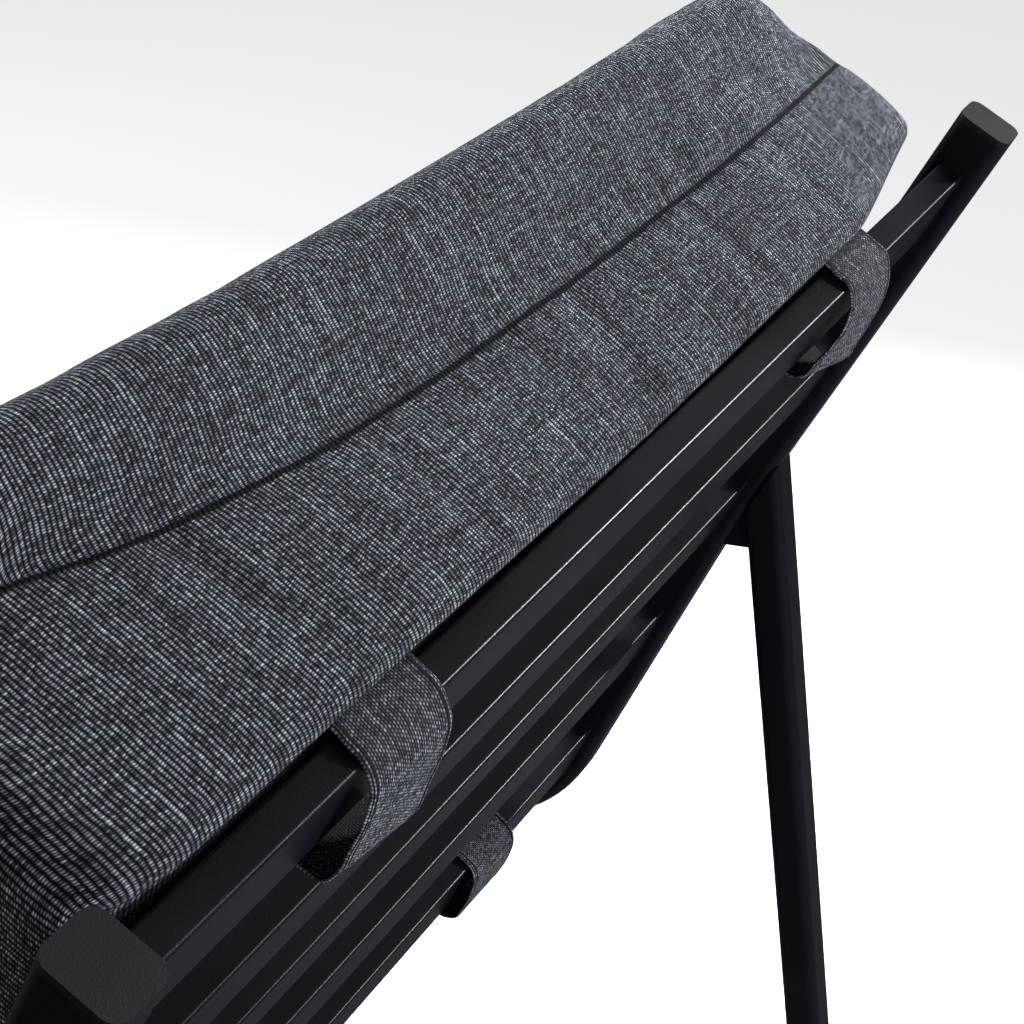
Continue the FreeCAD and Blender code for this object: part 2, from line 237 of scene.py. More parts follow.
def powder_coat():
    """Matt black, a little uneven in colour and gloss, with pale flecks and a fine grain."""
    made, tree, shader = material("black powder coat")
    grain = add(tree, "ShaderNodeGroup", {"Grain size": 0.0009}, node_tree=grain_group).outputs
    body = mixed(tree, grain["Mottle"], (0.0044, 0.0053, 0.0079), (0.0077, 0.009, 0.0126))
    fleck = ranged(tree, grain["Flecks"], 0.0, 0.35)
    connect(tree, shader, {"Base Color": mixed(tree, fleck, body, (0.16, 0.17, 0.2)),
                           "Roughness": ranged(tree, grain["Mottle"], 0.28, 0.36),
                           "Specular IOR Level": 0.22,
                           "Normal": bump(tree, grain["Height"], depth=0.00006)})
    return made


def moulded_plastic():
    """Matt black plastic with a faint moulded grain."""
    made, tree, shader = material("black moulded plastic")
    grain = add(tree, "ShaderNodeGroup", {"Grain size": 0.0006}, node_tree=grain_group).outputs
    body = mixed(tree, grain["Mottle"], (0.007, 0.0075, 0.009), (0.012, 0.0125, 0.0145))
    connect(tree, shader, {"Base Color": body,
                           "Roughness": ranged(tree, grain["Mottle"], 0.48, 0.6),
                           "Specular IOR Level": 0.3,
                           "Normal": bump(tree, grain["Height"], depth=0.00008)})
    return made


coat = powder_coat()
plastic = moulded_plastic()
for name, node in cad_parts.items():
    if "cushion" in name or "strap" in name or "zip" in name:
        continue
    node.data.materials.clear()
    node.data.materials.append(plastic if "cap" in name or "glide" in name else coat)


# Cushions. Each is a cover of woven outdoor fabric around one block of foam: a rear panel, a
# front panel and a strip of boxing between them all the way round, joined by two plain seams.
# The back cushion's front panel is cut fuller than its seams, so that it stands out as a pillow.

def smooth_line(x, places, values):
    """Smooth curve through a few values: cubic pieces, each slope the mean of its neighbours'."""
    places, values = np.asarray(places, float), np.asarray(values, float)
    slopes = np.gradient(values, places)
    x = np.clip(x, places[0], places[-1])
    i = np.clip(np.searchsorted(places, x) - 1, 0, len(places) - 2)
    gap = places[i + 1] - places[i]
    t = (x - places[i]) / gap
    return ((1 + 2 * t) * (1 - t) ** 2 * values[i] + t * (1 - t) ** 2 * gap * slopes[i]
            + t * t * (3 - 2 * t) * values[i + 1] + t * t * (t - 1) * gap * slopes[i + 1])


def round_corners(x, z, half_x, half_z, radius):
    """Rectangle to rounded rectangle: the square at each corner maps to a quarter disc.

    A point (a, b) of the unit square goes to (a sqrt(1 - b2/2), b sqrt(1 - a2/2)).
    """
    a = np.clip((np.abs(x) - (half_x - radius)) / radius, 0, 1)
    b = np.clip((np.abs(z) - (half_z - radius)) / radius, 0, 1)
    x_in = np.minimum(np.abs(x), half_x - radius)
    z_in = np.minimum(np.abs(z), half_z - radius)
    return (np.sign(x) * (x_in + radius * a * np.sqrt(1 - b * b / 2)),
            np.sign(z) * (z_in + radius * b * np.sqrt(1 - a * a / 2)))


def eased(count, crowd):
    """Steps from -1 to 1 that crowd towards both ends."""
    t = np.linspace(-1, 1, count + 1)
    return (1 - crowd) * t + crowd * np.sin(t * math.pi / 2)


def loop_of(grid):
    """The boundary of a grid, once around: along the first row, up, back and down."""
    return np.concatenate([grid[0, :-1], grid[:-1, -1], grid[-1, :0:-1], grid[:0:-1, 0]])


class BoxedCushion:
    """Closed surface of two panels and the boxing between them, on one set of shared points.

    a and b, from -1 to 1, run across and along both panels; the boxing's rows run from the rear
    panel's outline to the front one's. UV is in metres of cloth on every patch, and the point
    attribute "seam" is the distance to the nearest seam along the cloth.
    """

    def __init__(self, across, along, rows):
        self.a, self.b = np.meshgrid(eased(across, crowd=0.25), eased(along, crowd=0.25))
        shape = self.a.shape
        count = self.a.size
        self.rear = np.arange(count).reshape(shape)
        self.front = self.rear + count
        ring = loop_of(self.rear)
        inner = 2 * count + np.arange((rows - 1) * ring.size).reshape(rows - 1, ring.size)
        self.rings = np.vstack([ring, inner, loop_of(self.front)])
        self.rows = rows

    def faces(self):
        """Quads of the rear panel, the front panel and the boxing, all facing outwards."""
        def quads(g):
            """The four corners of each cell of a grid of point numbers."""
            return np.stack([g[:-1, :-1], g[:-1, 1:], g[1:, 1:], g[1:, :-1]], -1).reshape(-1, 4)
        wrapped = np.hstack([self.rings, self.rings[:, :1]])
        return quads(self.rear)[:, ::-1], quads(self.front), quads(wrapped)

    def points(self, rear, front, crown):
        """All points: the two panels, and boxing rows from one outline to the other.

        The rows crowd towards both seams as half of 1 - cosine does. crown(t, rear_loop,
        front_loop) gives what to add to the straight line between the outlines.
        """
        rear_loop, front_loop = loop_of(rear), loop_of(front)
        t = ((1 - np.cos(np.linspace(0, math.pi, self.rows + 1)[1:-1])) / 2)[:, None, None]
        rows = rear_loop + (front_loop - rear_loop) * t + crown(t[..., 0], rear_loop, front_loop)
        return np.concatenate([rear.reshape(-1, 3), front.reshape(-1, 3), rows.reshape(-1, 3)])

    def cloth_maps(self, points):
        """UV of every face corner and the seam distance of every point, measured on the cloth."""
        def run(grid, axis):
            """Length of cloth from the grid's first edge, step by step along an axis."""
            steps = np.linalg.norm(np.diff(points[grid], axis=axis), axis=-1)
            zero = np.zeros_like(steps.take([0], axis=axis))
            return np.concatenate([zero, np.cumsum(steps, axis=axis)], axis=axis)
        uv = []
        seam = np.zeros(len(points))
        for grid in (self.rear, self.front):
            u, v = run(grid, 1), run(grid, 0)
            near = np.minimum(np.minimum(u, u[:, -1:] - u), np.minimum(v, v[-1:] - v))
            seam[grid] = near
            uv.append(np.stack([u - u[:, -1:] / 2, v], -1))
        wrapped = np.hstack([self.rings, self.rings[:, :1]])
        u, v = run(wrapped, 1), run(wrapped, 0)
        u = np.broadcast_to(u.mean(axis=0), u.shape)
        seam[self.rings[1:-1]] = np.minimum(v, v[-1:] - v)[1:-1, :-1]
        uv.append(np.stack([u, v], -1))
        corners = []
        for coords, flip in zip(uv, (True, False, False)):
            square = np.stack([coords[:-1, :-1], coords[:-1, 1:], coords[1:, 1:], coords[1:, :-1]], 2)
            square = square.reshape(-1, 4, 2)
            corners.append(square[:, ::-1] if flip else square)
        return np.concatenate(corners).reshape(-1, 2), seam


def surface(name, points, faces, finish, corners=None, **attributes):
    """A smooth-shaded mesh object at the origin, with its UV corners and point attributes."""
    mesh = bpy.data.meshes.new(name)
    mesh.from_pydata(points.tolist(), [], faces)
    mesh.polygons.foreach_set("use_smooth", np.ones(len(faces), bool))
    if corners is not None:
        mesh.uv_layers.new(name="cloth").data.foreach_set("uv", corners.astype("f").ravel())
    for key, values in attributes.items():
        mesh.attributes.new(key, "FLOAT", "POINT").data.foreach_set("value", values.astype("f"))
    mesh.materials.append(finish)
    piece = bpy.data.objects.new(name, mesh)
    scene.collection.objects.link(piece)
    return piece


def inflate(piece, held, cap, pressure=4.0, slack=0.012):
    """Cloth simulation of a cushion's cover, applied: free points move by up to cap metres.

    held is 1 at each point that stays where it is and 0 at the others; slack is the share by
    which the cloth is longer than the shape, which puckers it along the seams.
    """
    rest = np.empty(len(piece.data.vertices) * 3)
    piece.data.vertices.foreach_get("co", rest)
    group = piece.vertex_groups.new(name="held")
    for level in (0.0, 1.0):
        group.add(np.flatnonzero(held == level).tolist(), level, "REPLACE")
    cloth = piece.modifiers.new("cloth", "CLOTH")
    cloth.settings.quality = 6
    cloth.settings.mass = 0.3
    cloth.settings.tension_stiffness = 30
    cloth.settings.compression_stiffness = 12
    cloth.settings.shear_stiffness = 8
    cloth.settings.bending_stiffness = 0.6
    cloth.settings.vertex_group_mass = "held"
    cloth.settings.use_pressure = True
    cloth.settings.uniform_pressure_force = pressure
    cloth.settings.shrink_min = -slack
    cloth.settings.effector_weights.gravity = 0
    cloth.collision_settings.use_collision = False
    last_step = 20
    for step in range(1, last_step + 1):
        scene.frame_set(step)
    moved = np.empty(rest.size)
    evaluated = piece.evaluated_get(bpy.context.evaluated_depsgraph_get())
    evaluated.data.vertices.foreach_get("co", moved)
    piece.modifiers.remove(cloth)
    piece.vertex_groups.remove(group)
    scene.frame_set(1)
    shift = (moved - rest).reshape(-1, 3)
    length = np.linalg.norm(shift, axis=1, keepdims=True)
    settled = rest.reshape(-1, 3) + shift * np.minimum(1, cap / np.maximum(length, 1e-9))
    piece.data.vertices.foreach_set("co", settled.astype("f").ravel())


def cushion_piece(name, box, points, panel, still, boxing_cap, front_cap):
    """A covered cushion: its surface, swollen by the simulation and then smoothed once.

    The rear panel and the front seam stay where they are, and so do the points that still
    marks. The caps are the largest moves of the boxing and of the front panel.
    """
    corners, seam = box.cloth_maps(points)
    faces = np.concatenate(box.faces()).tolist()
    piece = surface(name, panel.place(points), faces, cover, corners, seam=seam)
    held = still.astype(float)
    held[box.rear] = 1
    held[loop_of(box.front)] = 1
    cap = np.full((len(points), 1), boxing_cap)
    cap[box.front] = front_cap
    inflate(piece, held, cap)
    smooth = piece.modifiers.new("smooth", "SUBSURF")
    smooth.levels = smooth.render_levels = 1
    return piece


def eased_step(tree, value, start, end):
    """0 before start and 1 beyond end, with a smooth change between them."""
    return add(tree, "ShaderNodeMapRange", {"Value": value, "From Min": start, "From Max": end},
               interpolation_type="SMOOTHSTEP").outputs[0]


def melange_weave():
    """Node group: ribs of yarn with staggered picks, on cloth coordinates in metres.

    The cloth is divided into ribs across U and picks along V, every other rib half a pick on,
    once a noise has moved each place by up to about half of Wander. A thread stands up as a
    power of a sine across its rib, times 0.32 plus 0.68 of a sine along its pick. Each pick has
    its own shade, and long slubs both ways make ribs and picks lighter in streaks.
    """
    group, given, result = node_group(
        "melange weave", {"Cloth": "Vector", "Rib": "Float", "Pick": "Float", "Wander": "Float"},
        ("Height", "Shade"))

    def sums(operation, *values):
        """A maths node on sockets or plain numbers."""
        return add(group, "ShaderNodeMath", dict(enumerate(values)), operation=operation).outputs[0]

    def vectors(operation, inputs):
        """A vector maths node."""
        return add(group, "ShaderNodeVectorMath", inputs, operation=operation).outputs[0]

    def spot(x, y):
        """The vector of two sockets."""
        return add(group, "ShaderNodeCombineXYZ", {"X": x, "Y": y}).outputs[0]

    def noise(vector, scale=1.0, detail=3.0, roughness=0.5):
        """A noise: its value and its colour."""
        return add(group, "ShaderNodeTexNoise", {"Vector": vector, "Scale": scale, "Detail": detail,
                                                 "Roughness": roughness}).outputs

    waver = noise(given["Cloth"], scale=52.0, detail=5.0, roughness=0.62)["Color"]
    centred = vectors("SUBTRACT", {0: waver, 1: (0.5, 0.5, 0.5)})
    shift = vectors("SCALE", {0: centred, "Scale": given["Wander"]})
    moved = vectors("ADD", {0: given["Cloth"], 1: shift})
    place = add(group, "ShaderNodeSeparateXYZ", {0: moved}).outputs

    rib = sums("DIVIDE", place["X"], given["Rib"])
    rib_index = sums("FLOOR", rib)
    stagger = sums("MULTIPLY", sums("FLOORED_MODULO", rib_index, 2.0), 0.5)
    pick = sums("ADD", sums("DIVIDE", place["Y"], given["Pick"]), stagger)
    over_rib = sums("SINE", sums("MULTIPLY", sums("FRACT", rib), math.pi))
    over_pick = sums("SINE", sums("MULTIPLY", sums("FRACT", pick), math.pi))
    along = sums("ADD", sums("MULTIPLY", over_pick, 0.68), 0.32)
    height = sums("MULTIPLY", sums("POWER", over_rib, 1.2), along)

    # Every yarn reads its own line of a noise: apart sets its line, and slow is the noise's
    # pace along the yarn, per metre.
    apart, slow = 3.7, 26.0
    weft_index = sums("FLOOR", sums("DIVIDE", place["Y"], given["Pick"]))
    warp = noise(spot(sums("MULTIPLY", rib_index, apart), sums("MULTIPLY", place["Y"], slow)))[0]
    weft = noise(spot(sums("MULTIPLY", place["X"], slow), sums("MULTIPLY", weft_index, apart)))[0]
    slubs = [sums("MULTIPLY", eased_step(group, field, 0.57, 0.74), over)
             for field, over in ((warp, over_rib), (weft, over_pick))]

    # Shade: the height, which paints the shade in the gaps between the threads and on their flanks,
    # times each pick's own share of 0.42 to 1.04 (real yarn tone), times how light its two yarns run,
    # and a little more in the slubs.
    uneven = sums("ADD", sums("MULTIPLY", sums("ADD", warp, weft), 0.9), 0.05)
    dice = add(group, "ShaderNodeTexWhiteNoise", {"Vector": spot(rib_index, sums("FLOOR", pick))},
               noise_dimensions="2D")
    own = sums("ADD", sums("MULTIPLY", dice.outputs["Value"], 0.62), 0.42)
    shade = sums("ADD", sums("MULTIPLY", sums("MULTIPLY", height, own), uneven),
                 sums("MULTIPLY", sums("ADD", *slubs), 0.13))
    connect(group, result, {"Height": height, "Shade": shade})
    return group


weave_group = melange_weave()


def weave_on(tree, rib, pick, wander):
    """The weave's height and shade on a piece's cloth, for ribs and picks in metres."""
    cloth = add(tree, "ShaderNodeUVMap", uv_map="cloth").outputs[0]
    return add(tree, "ShaderNodeGroup", {"Cloth": cloth, "Rib": rib, "Pick": pick, "Wander": wander},
               node_tree=weave_group).outputs


def yarn_colour(tree, shade, levels):
    """Ramp from the painted shade of the gaps between threads to the palest yarn."""
    ramp = add(tree, "ShaderNodeValToRGB", {0: shade})
    while len(ramp.color_ramp.elements) < len(levels):
        ramp.color_ramp.elements.new(0.5)
    for element, (place, colour) in zip(ramp.color_ramp.elements, levels):
        element.position = place
        element.color = (*colour, 1)
    return ramp.outputs[0]


# Yarn levels: near 0 the painted shade in the gaps between threads, above it the real melange yarn
# tones.
charcoal = [(0.0, (0.0035, 0.0038, 0.0048)), (0.2, (0.013, 0.014, 0.0173)),
            (0.46, (0.107, 0.116, 0.139)), (0.74, (0.295, 0.313, 0.36)), (1.0, (0.57, 0.6, 0.65))]


def woven_cover():
    """Charcoal melange cover: woven ribs, a painted shade in the seams' grooves and small puckers
    beside them.
    """
    made, tree, shader = material("charcoal woven cover")
    weave = weave_on(tree, rib=0.00225, pick=0.00095, wander=0.0024)
    yarn = yarn_colour(tree, weave["Shade"], charcoal)
    seam = add(tree, "ShaderNodeAttribute", attribute_name="seam").outputs["Fac"]
    # Painted shade of the seams' grooves: the colour goes near-black within 1.7 mm of a seam.
    outside_seam_shade = eased_step(tree, seam, 0.0003, 0.0017)
    connect(tree, shader, {"Base Color": mixed(tree, outside_seam_shade, (0.002, 0.002, 0.0025), yarn),
                           "Roughness": 0.92, "Specular IOR Level": 0.1,
                           "Sheen Weight": 0.03, "Sheen Roughness": 0.5})

    cloth = add(tree, "ShaderNodeUVMap", uv_map="cloth").outputs[0]
    drawn = add(tree, "ShaderNodeMapping", {"Vector": cloth, "Scale": (16.0, 190.0, 1.0)})
    pucker = add(tree, "ShaderNodeTexNoise",
                 {"Vector": drawn.outputs[0], "Scale": 1.0, "Detail": 2.0})
    beside = eased_step(tree, seam, 0.034, 0.006)
    fold = add(tree, "ShaderNodeMath", {0: pucker.outputs[0], 1: beside}, operation="MULTIPLY")
    folded = bump(tree, fold.outputs[0], depth=0.0022)
    grooved = bump(tree, eased_step(tree, seam, 0.0, 0.0035), depth=0.0015, under=folded)
    connect(tree, shader, {"Normal": bump(tree, weave["Height"], depth=0.0004, under=grooved)})
    return made


cover = woven_cover()


# Back cushion. Its boxing lies over the top rail's front edge, where the two straps pull it
# back: between them it sags a little, and beyond them its ends draw forward from the rail.

strap_x = (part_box("top_strap_left")[0][0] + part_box("top_strap_left")[1][0]) / 2
side_x, low_z, rear_y, roll = 0.344, -0.538, -0.0143, 0.0055
low_seam_y, strap_seam_y, strap_seam_z = -0.088, -0.0905, 0.0183


def seam_over_rail(x):
    """Place of the front seam along the cushion's top: (y, z) against the way from one strap."""
    way = strap_x - x
    y = smooth_line(way, [-0.168, -0.1, -0.071, -0.045, -0.017, 0.013, 0.06, 0.11, 0.162, 0.3, 0.417,
                          0.5, 0.58],
                    [-0.116, -0.112, -0.106, -0.0995, -0.0945, strap_seam_y, -0.0855, -0.083,
                     -0.0815, -0.0795, -0.0795, -0.083, -0.088])
    z = smooth_line(way, [-0.168, -0.071, -0.02, 0.013, 0.09, 0.162, 0.25, 0.33, 0.412, 0.58],
                    [0.022, 0.0225, 0.0195, strap_seam_z, 0.0145, 0.0127, 0.013, 0.0155, 0.018,
                     0.018])
    return y, z


def rear_edge(x):
    """Rear upper edge: how far it is drawn forward, and its height.

    It sags as a squared sine between the straps. The right end is drawn forward on a slope
    that sets in over a short way, and the left end as a square.
    """
    right_from, right_slope, right_ease = 0.215, 0.165, 0.03
    left_from, left_curve = 0.3, 2.6
    height, sag = 0.013, 0.009
    right = np.maximum(-x - right_from, 0)
    left = np.maximum(x - left_from, 0)
    drawn = right_slope * right * (1 - np.exp(-right / right_ease)) + left_curve * left ** 2
    way = np.clip((strap_x - x) / (2 * strap_x), 0, 1)
    return drawn, height - sag * np.sin(math.pi * way) ** 2


pillow = np.array([(low_seam_y, low_z), (-0.112, -0.531), (-0.136, -0.505), (-0.146, -0.462),
                   (-0.152, -0.35), (-0.156, -0.228), (-0.157, -0.06), (-0.156, 0.01),
                   (-0.152, 0.034), (-0.145, 0.0445), (-0.136, 0.0465), (-0.1264, 0.0424),
                   (-0.116, 0.0375), (-0.1078, 0.0314), (-0.0985, 0.0238),
                   (strap_seam_y, strap_seam_z)])


def along_pillow(share):
    """Point of the pillow's outline at a share of its length, from the low seam to the top one."""
    steps = np.linalg.norm(np.diff(pillow, axis=0), axis=1)
    length = np.concatenate([[0], np.cumsum(steps)])
    return (smooth_line(share * length[-1], length, pillow[:, 0]),
            smooth_line(share * length[-1], length, pillow[:, 1]), length[-1])


def back_cushion_shape(box):
    """Points of the back cushion in the back's frame of reference.

    Rear panel: flat, its ends drawn forward, least at half height; the boxing rolls over onto
    it in a quarter circle, and its top tucks in under that roll. Front panel: the pillow's
    outline, which dies down to the side seams over a quarter circle; the top seam's own place
    is added to it and fades away over a few centimetres.
    """
    rear_corner, ends_only = 0.01, 0.45
    tuck, tuck_start, tuck_reach = 0.004, 0.003, 0.016
    x = box.a * side_x
    drawn, top = rear_edge(x)
    half = (top - low_z) / 2
    rx, rz = round_corners(x * (1 - roll / side_x), box.b * (half - roll), side_x - roll,
                           half - roll, rear_corner)
    rz = rz + low_z + half
    below = top - roll - rz
    tucked = tuck * (1 - np.exp(-(below / tuck_start) ** 2)) * np.exp(-(below / tuck_reach) ** 2)
    drawn = drawn * (1 - ends_only + ends_only * box.b ** 4)
    rear = np.stack([rx, rear_y - drawn - tucked, rz], -1)

    front_corner, seam_reach, panel_reach, side_fall = 0.018, 0.028, 0.11, 0.075
    seam_y, seam_z = seam_over_rail(x)
    share = (box.b + 1) / 2
    out_y, out_z, length = along_pillow(share)
    from_top = (1 - share) * length
    near_seam = np.exp(-from_top / seam_reach)
    near_top = np.exp(-(from_top / panel_reach) ** 2)
    chord_half = (seam_z - low_z) / 2
    fx, fz = round_corners(x, box.b * chord_half, side_x, chord_half, front_corner)
    fz = fz + low_z + chord_half
    chord_y = low_seam_y + (seam_y - low_seam_y) * near_top
    edge = np.clip((np.abs(x) - (side_x - side_fall)) / side_fall, 0, 1)
    full = np.sqrt(1 - edge ** 2)
    body_y = out_y + (seam_y - strap_seam_y) * near_seam
    body_z = out_z + (seam_z - strap_seam_z) * near_top
    front = np.stack([fx, chord_y + full * (body_y - chord_y), fz + full * (body_z - fz)], -1)
    front[-1, :, 1] = seam_y[-1]

    def crown(t, rear_loop, front_loop):
        """The roll's quarter circle, and a belly of 4t(1 - t), more at the ends, none below."""
        middle = (rear_loop + front_loop) / 2
        run = np.roll(middle, -1, 0) - np.roll(middle, 1, 0)
        out = np.stack([run[:, 2], 0 * run[:, 0], -run[:, 0]], -1)
        out /= np.linalg.norm(out, axis=1, keepdims=True)
        least, more_at_ends, underside_from = 0.0012, 0.0015, -0.7
        belly = (least + more_at_ends * np.abs(out[:, 0])) * (out[:, 2] > underside_from)
        depth = np.linalg.norm(front_loop - rear_loop, axis=1)
        before_roll = np.clip(1 - t * depth / roll, 0, 1)
        rolled = roll * (np.sqrt(1 - before_roll ** 2) - t)
        return (4 * t * (1 - t) * belly + rolled)[..., None] * out
    return box.points(rear, front, crown)


back_box = BoxedCushion(across=96, along=88, rows=16)
points = back_cushion_shape(back_box)
# The underside keeps still, within 2 mm of its plane, so that the zip lies flat on it.
underside = points[:, 2] < low_z + 0.002
back_cushion = cushion_piece("back_cushion", back_box, points, back, still=underside,
                             boxing_cap=0.0009, front_cap=0.0034)
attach(back_cushion, "back_cushion")
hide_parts("back_cushion_cover", "back_cushion_foam")


# Straps. Each is a strip of the cover's cloth, folded double and hemmed, sewn into the rear
# seam; it goes over the slat, hangs slack behind it and fastens to itself under the cushion.

def strap_cloth():
    """The cover's yarns at 0.8 of their colour as a painted shade of the folded strip, in a finer cut,
    with a row of stitches beside each hem.
    """
    made, tree, shader = material("folded strap")
    weave = weave_on(tree, rib=0.0013, pick=0.0016, wander=0.0008)
    # The 0.8 is painted shade: the strap's cloth is the cover's, darkened as folded cloth in shade.
    fold_shade_share, row_inset, row_half = 0.8, 0.003, 0.0006
    darker = [(place, [fold_shade_share * part for part in colour]) for place, colour in charcoal]
    yarn = yarn_colour(tree, weave["Shade"], darker)
    hem = add(tree, "ShaderNodeAttribute", attribute_name="hem").outputs["Fac"]
    row = add(tree, "ShaderNodeMath", {0: hem, 1: row_inset, 2: row_half}, operation="COMPARE")
    connect(tree, shader, {"Base Color": mixed(tree, row.outputs[0], yarn, (0.004, 0.004, 0.005)),
                           "Roughness": 0.85, "Specular IOR Level": 0.25,
                           "Normal": bump(tree, weave["Height"], depth=0.0003)})
    return made


strap_finish = strap_cloth()
strap_half, strap_thick = 0.0245, 0.002


def ribbon(path, half, thick, columns=22):
    """Closed strip: a flat rounded section carried along a path given for both of its edges.

    path is (stations, 2, 3), the strip's two edges. Across the strip the points run along the
    upper face and back along the lower one. Its thickness rises from nothing at the rims as a
    square root, over 1 mm; it is full at the hems, 2.5 mm in, and 0.86 of that between them.
    """
    rim, hem_at, hem_spread, between = 0.001, 0.0025, 0.0014, 0.86
    fine = np.linspace(0, 1, columns)
    across = 0.5 - 0.5 * np.cos(fine * math.pi)
    middle = path[:, :1] * (1 - across[None, :, None]) + path[:, 1:] * across[None, :, None]
    run = np.gradient(middle, axis=0)
    side = np.broadcast_to(path[:, 1:] - path[:, :1], middle.shape)
    up = np.cross(run, side)
    up /= np.linalg.norm(up, axis=-1, keepdims=True)
    inset = np.minimum(across, 1 - across) * 2 * half
    hem_swell = between + (1 - between) * np.exp(-((inset - hem_at) / hem_spread) ** 2)
    swell = np.sqrt(np.clip(inset / rim, 0, 1)) * hem_swell
    lift = (swell * thick / 2)[None, :, None] * up
    ring = np.concatenate([middle + lift, (middle - lift)[:, -2:0:-1]], axis=1)
    stations, count = ring.shape[:2]
    index = np.arange(stations * count).reshape(stations, count)
    wrapped = np.hstack([index, index[:, :1]])

    def quads(g):
        """The four corners of each cell of a grid."""
        return np.stack([g[:-1, :-1], g[1:, :-1], g[1:, 1:], g[:-1, 1:]], 2)
    faces = quads(wrapped).reshape(-1, 4).tolist() + [index[0].tolist(), index[-1, ::-1].tolist()]
    steps = np.linalg.norm(np.diff(middle[:, columns // 2], axis=0), axis=1)
    length = np.concatenate([[0], np.cumsum(steps)])
    u = np.concatenate([across, across[-2:0:-1], across[:1]]) * 2 * half
    uv = np.stack(np.broadcast_arrays(u[None, :], length[:, None]), -1)
    corners = np.concatenate([quads(uv).reshape(-1, 2), uv[0, :-1], uv[-1, -2::-1]])
    hem = np.broadcast_to(np.concatenate([inset, inset[-2:0:-1]]), (stations, count))
    return ring.reshape(-1, 3), faces, corners, hem.ravel(), length[-1]


def edge_line(knots, stations):
    """Smooth line through (y, z) knots in millimetres, at even steps of its length, in metres."""
    knots = np.array(knots) / 1000
    length = np.concatenate([[0], np.cumsum(np.linalg.norm(np.diff(knots, axis=0), axis=1))])
    at = np.linspace(0, length[-1], stations)
    return np.stack([smooth_line(at, length, knots[:, 0]), smooth_line(at, length, knots[:, 1])], -1)


def strap_piece(name, panel, x, rear, left, right):
    """Strap at x: each edge follows its own (y, z) knots around the slat, set back by rear."""
    stations = 90
    path = np.empty((stations, 2, 3))
    for side, (sign, knots) in enumerate(((-1, right), (1, left))):
        path[:, side, 0] = x + sign * strap_half
        path[:, side, 1:] = edge_line(knots, stations) + (rear, 0)
    points, faces, corners, hem, length = ribbon(panel.place(path), strap_half, strap_thick)
    piece = surface(name, points, faces, strap_finish, corners, hem=hem)
    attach(piece, "back_cushion")
    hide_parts(name.replace("_loop", ""))


# Edges of the straps around their slats, as (y, z) in millimetres, from the seam on.
snug = [(-22, 4), (-14.5, 5.0), (-9, 3.6), (-3, 2.4), (2.6, -1.0), (6.6, -6), (8.6, -13), (10, -22),
        (10.5, -35), (10.8, -48), (8, -55.5), (0, -57.5), (-9, -56), (-16, -54)]
loose_edge = [(-22, 3), (-14.5, 3.7), (-9, 3.0), (-3, 2.2), (3, -2.0), (7.9, -8.1), (10, -15),
              (11.2, -22), (12.7, -36), (14.2, -53), (12, -62), (3, -65), (-8, -61), (-16, -57)]
drawn_in = [(-22, 3), (-15.4, 4.2), (-9.2, 3.2), (-1, 2.1), (5.3, -5), (8.6, -15), (8.9, -28),
            (7.2, -41), (5.5, -52), (0, -56), (-8, -56), (-16, -54)]
hanging = [(-22, 3), (-15, 3.4), (-8.4, 3.0), (-0.2, 1.9), (6.7, -6.0), (11.4, -19), (12.8, -32),
           (13.4, -47), (13.6, -58), (9, -65), (-2, -65), (-16, -57)]
low_left = [(-40, 2), (-16, 4), (-6, 3.4), (2, 1.2), (7, -5), (9, -15), (9.6, -32), (7.5, -45),
            (1, -50), (-12, -50), (-40, -48)]
low_right = [(-40, 2), (-16, 3.6), (-6, 3), (2, 0.6), (7.6, -6), (10, -17), (10.2, -34), (8, -46),
             (1, -50.5), (-12, -50.5), (-40, -48)]
# The left top strap is sewn a little off its place, and the low straps lie further back.
aside, low_rear = 0.0015, 0.006
strap_piece("top_strap_left_loop", back, strap_x + aside, 0.0, snug, loose_edge)
strap_piece("top_strap_right_loop", back, -strap_x, 0.0, drawn_in, hanging)
for side, x in (("left", strap_x), ("right", -strap_x)):
    name = "low_strap_" + side + "_loop"
    strap_piece(name, low_back, x, low_rear, low_left, low_right)


# Seat cushion. A boxed cushion of the same cloth, loose on the slats between the side rails;
# its foam is cut with a crown, so that its top stands highest in the middle.

seat_side_x, seat_front_y, seat_rear_y = 0.335, -0.5055, -0.0112


def seat_cushion_shape(box):
    """Points of the seat cushion in the seat's frame of reference.

    With a dome of 1 - a4 times 1 - b4, the top rises from its seam as the dome to the power
    0.6, and the flat underside lifts at its edge as the cube of what the dome lacks.
    """
    corner, under_z, under_lift, seam_z, rise = 0.03, 0.0086, 0.002, 0.108, 0.0165
    half_y = (seat_rear_y - seat_front_y) / 2
    x, y = round_corners(box.a * seat_side_x, box.b * half_y, seat_side_x, half_y, corner)
    y = y + (seat_front_y + seat_rear_y) / 2
    dome = (1 - box.a ** 4) * (1 - box.b ** 4)
    rear = np.stack([x, y, under_z + under_lift * (1 - dome) ** 3], -1)
    front = np.stack([x, y, seam_z + rise * dome ** 0.6], -1)

    def crown(t, rear_loop, front_loop):
        """A belly of 4t(1 - t) all round, except on the rear face, where the zip lies."""
        middle = (rear_loop + front_loop) / 2
        run = np.roll(middle, -1, 0) - np.roll(middle, 1, 0)
        out = np.stack([run[:, 1], -run[:, 0], 0 * run[:, 0]], -1)
        out /= np.linalg.norm(out, axis=1, keepdims=True)
        most, rear_face_from = 0.0025, 0.7
        belly = most * (out[:, 1] < rear_face_from)
        return (4 * t * (1 - t) * belly)[..., None] * out
    return box.points(rear, front, crown)


seat_box = BoxedCushion(across=84, along=64, rows=12)
points = seat_cushion_shape(seat_box)
